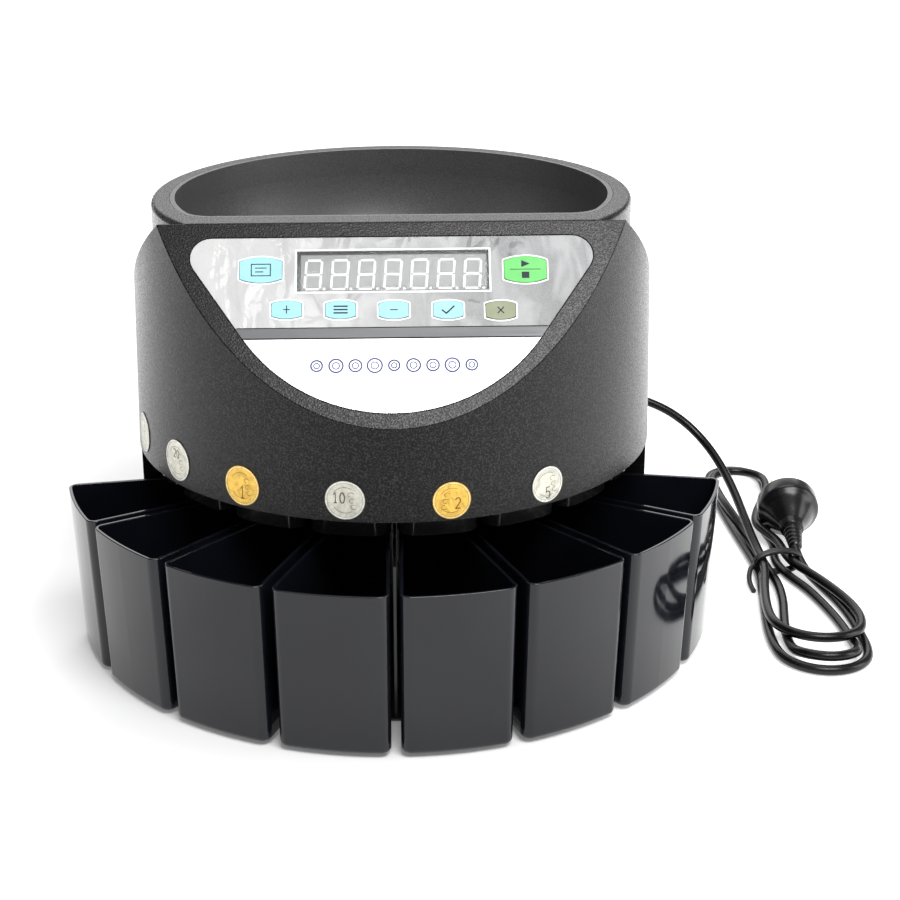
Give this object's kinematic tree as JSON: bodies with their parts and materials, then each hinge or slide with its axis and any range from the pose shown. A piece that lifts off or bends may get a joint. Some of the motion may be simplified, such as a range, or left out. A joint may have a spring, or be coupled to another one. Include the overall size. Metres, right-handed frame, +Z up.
{
  "type": "coin counter and sorter",
  "caption": "Round electric coin sorter: open hopper with a sloping keypad front over a fan of pull-out wedge cups, with its tied mains cord",
  "frame": {"origin": "centre of the machine's footprint without its cord, on the surface it stands on", "axes": "+Z up, -Y towards the keypad and the cups, +X to the right of a person facing the keypad"},
  "size_m": [0.435, 0.3725, 0.2387],
  "materials": {
    "grained_black": "coarse moulded grain, semi-matte",
    "bowl_black": "fine moulded texture",
    "gloss_black": "polished moulding",
    "silver_film": "metallic ink under clear polyester, loose protective film on top",
    "white_label": "printed label under clear film",
    "divider_grey": "satin grey strip",
    "clear_window": "clear acrylic",
    "digit_grey": "light grey display face",
    "board_green": "solder mask",
    "component_black": "moulded electronic parts",
    "key_blue": "pale blue printed key",
    "key_green": "green printed key",
    "key_olive": "olive printed key",
    "label_metal": "metallic foil labels",
    "steel": "bright sheet steel",
    "painted_steel": "black paint",
    "motor_metal": "plated motor can",
    "core_steel": "varnished laminations",
    "gear_nylon": "natural nylon",
    "wheel_grey": "moulded wheel",
    "bronze": "sintered bronze",
    "rubber_black": "moulded rubber",
    "cord_black": "satin PVC",
    "plug_black": "moulded PVC",
    "pin_brass": "plated brass",
    "rocker_black": "polished rocker"
  },
  "bodies": {
    "machine": {"hood_shell": "grained_black", "hopper_bowl": "bowl_black", "panel_divider": "divider_grey", "keypad_overlay": "silver_film", "label_plate": "white_label", "display_window": "clear_window", "display_board": "board_green", "display_digits": "digit_grey", "key_switches": "component_black", "coin_labels": "label_metal", "sort_plate": "steel", "track_fence": "steel", "chute_ring": "gloss_black", "coin_sensors": "component_black", "chassis_deck": "gloss_black", "cup_bay": "gloss_black", "rear_housing": "gloss_black", "base_plate": "painted_steel", "rubber_feet": "rubber_black", "deck_posts": "steel", "main_bearings": "bronze", "motor_bracket": "steel", "drive_motor": "motor_metal", "main_board": "board_green", "board_parts": "component_black", "transformer": "core_steel", "switch_frame": "component_black", "data_socket": "component_black", "cord_gland": "rubber_black", "case_screws": "steel", "power_cord": "cord_black", "cord_hank": "cord_black", "cord_tie": "cord_black", "plug_body": "plug_black", "plug_pins": "pin_brass", "plug_relief": "plug_black"},
    "coin_rotor": {"coin_wheel": "wheel_grey", "wheel_fingers": "wheel_grey", "drive_gear": "gear_nylon", "main_shaft": "steel", "wheel_cap": "steel"},
    "motor_rotor": {"motor_pinion": "bronze"},
    "switch_rocker": {"power_rocker": "rocker_black"},
    "bin_1": {"cup_1": "gloss_black"},
    "bin_2": {"cup_2": "gloss_black"},
    "bin_3": {"cup_3": "gloss_black"},
    "bin_4": {"cup_4": "gloss_black"},
    "bin_5": {"cup_5": "gloss_black"},
    "bin_6": {"cup_6": "gloss_black"},
    "bin_7": {"cup_7": "gloss_black"},
    "bin_8": {"cup_8": "gloss_black"},
    "report_button": {"key_report": "key_blue"},
    "start_button": {"key_start": "key_green"},
    "plus_button": {"key_plus": "key_blue"},
    "batch_button": {"key_batch": "key_blue"},
    "minus_button": {"key_minus": "key_blue"},
    "set_button": {"key_set": "key_blue"},
    "clear_button": {"key_clear": "key_olive"}
  },
  "joints": [
    {"name": "wheel_spin", "type": "hinge", "parent": "machine", "child": "coin_rotor", "pos_m": [0, 0.01952, 0.12], "axis": [0, 0, 1], "continuous": true},
    {"name": "pinion_spin", "type": "hinge", "parent": "machine", "child": "motor_rotor", "pos_m": [0, 0.05552, 0.09], "axis": [0, 0, 1], "continuous": true},
    {"name": "rocker_tilt", "type": "hinge", "parent": "machine", "child": "switch_rocker", "pos_m": [-0.02, 0.14983, 0.06], "axis": [1, 0, 0], "range_deg": [0, 16]},
    {"name": "cup_1_slide", "type": "slide", "parent": "machine", "child": "bin_1", "axis": [-0.9397, -0.342, 0], "range_m": [0, 0.09]},
    {"name": "cup_2_slide", "type": "slide", "parent": "machine", "child": "bin_2", "axis": [-0.766, -0.6428, 0], "range_m": [0, 0.09]},
    {"name": "cup_3_slide", "type": "slide", "parent": "machine", "child": "bin_3", "axis": [-0.5, -0.866, 0], "range_m": [0, 0.09]},
    {"name": "cup_4_slide", "type": "slide", "parent": "machine", "child": "bin_4", "axis": [-0.1736, -0.9848, 0], "range_m": [0, 0.09]},
    {"name": "cup_5_slide", "type": "slide", "parent": "machine", "child": "bin_5", "axis": [0.1736, -0.9848, 0], "range_m": [0, 0.09]},
    {"name": "cup_6_slide", "type": "slide", "parent": "machine", "child": "bin_6", "axis": [0.5, -0.866, 0], "range_m": [0, 0.09]},
    {"name": "cup_7_slide", "type": "slide", "parent": "machine", "child": "bin_7", "axis": [0.766, -0.6428, 0], "range_m": [0, 0.09]},
    {"name": "cup_8_slide", "type": "slide", "parent": "machine", "child": "bin_8", "axis": [0.9397, -0.342, 0], "range_m": [0, 0.025]},
    {"name": "report_press", "type": "slide", "parent": "machine", "child": "report_button", "axis": [0, 0.791, -0.6118], "range_m": [0, 0.0005], "stiffness_N_per_m": 2000},
    {"name": "start_press", "type": "slide", "parent": "machine", "child": "start_button", "axis": [0, 0.791, -0.6118], "range_m": [0, 0.0005], "stiffness_N_per_m": 2000},
    {"name": "plus_press", "type": "slide", "parent": "machine", "child": "plus_button", "axis": [0, 0.791, -0.6118], "range_m": [0, 0.0005], "stiffness_N_per_m": 2000},
    {"name": "batch_press", "type": "slide", "parent": "machine", "child": "batch_button", "axis": [0, 0.791, -0.6118], "range_m": [0, 0.0005], "stiffness_N_per_m": 2000},
    {"name": "minus_press", "type": "slide", "parent": "machine", "child": "minus_button", "axis": [0, 0.791, -0.6118], "range_m": [0, 0.0005], "stiffness_N_per_m": 2000},
    {"name": "set_press", "type": "slide", "parent": "machine", "child": "set_button", "axis": [0, 0.791, -0.6118], "range_m": [0, 0.0005], "stiffness_N_per_m": 2000},
    {"name": "clear_press", "type": "slide", "parent": "machine", "child": "clear_button", "axis": [0, 0.791, -0.6118], "range_m": [0, 0.0005], "stiffness_N_per_m": 2000}
  ],
  "couplings": [
    {"joint": "pinion_spin", "follows": "wheel_spin", "ratio": -3}
  ]
}
